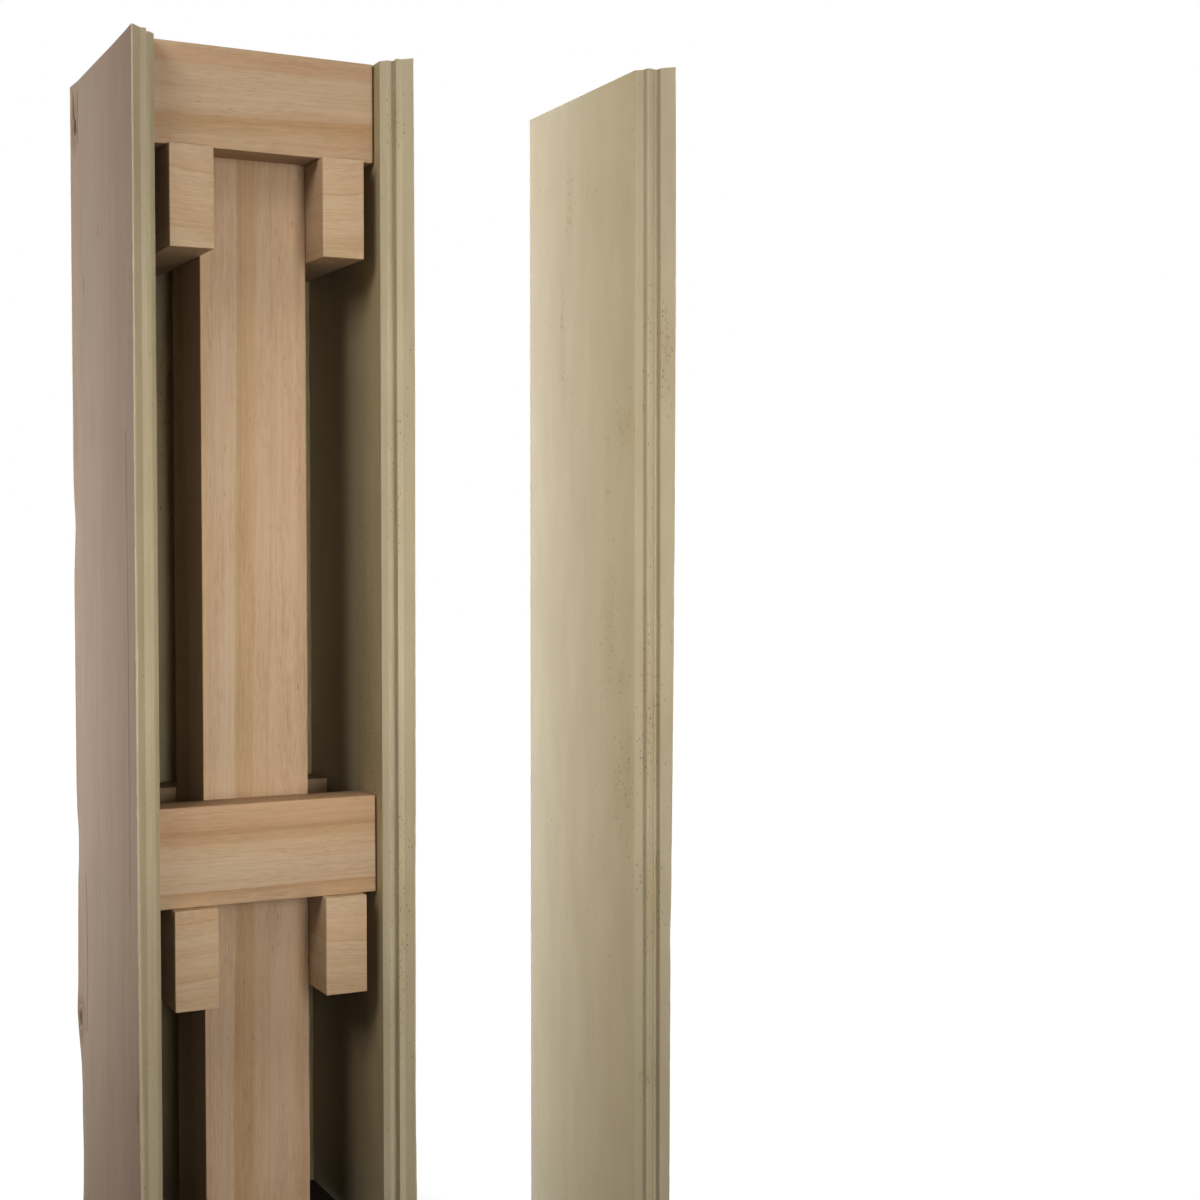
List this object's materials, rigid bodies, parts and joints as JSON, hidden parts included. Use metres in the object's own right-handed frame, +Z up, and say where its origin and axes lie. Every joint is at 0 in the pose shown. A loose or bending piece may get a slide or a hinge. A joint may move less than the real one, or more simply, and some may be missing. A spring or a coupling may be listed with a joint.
{
  "type": "column wrap",
  "caption": "Square moulded column wrap round a timber post with blocking; its front panel is off and stands beside it, showing the interlocking mitred edges.",
  "frame": {"origin": "centre of the post's underside, level with the feet of the panels", "axes": "+Z up the post, -Y out of the open front, +X towards the loose front panel"},
  "size_m": [0.3795, 0.5071, 1.079],
  "materials": {
    "timber": "bare planed softwood, unfinished",
    "moulded_foam": "rigid foam, grey-brown wood-grained skin outside, bare khaki foam inside and on the edges"
  },
  "bodies": {
    "root": {"post": "timber", "blocking_top_front": "timber", "blocking_top_back": "timber", "blocking_top_left": "timber", "blocking_top_right": "timber", "blocking_mid_front": "timber", "blocking_mid_back": "timber", "blocking_mid_left": "timber", "blocking_mid_right": "timber", "panel_left": "moulded_foam", "panel_right": "moulded_foam", "panel_back": "moulded_foam", "panel_front": "moulded_foam"}
  },
  "joints": []
}
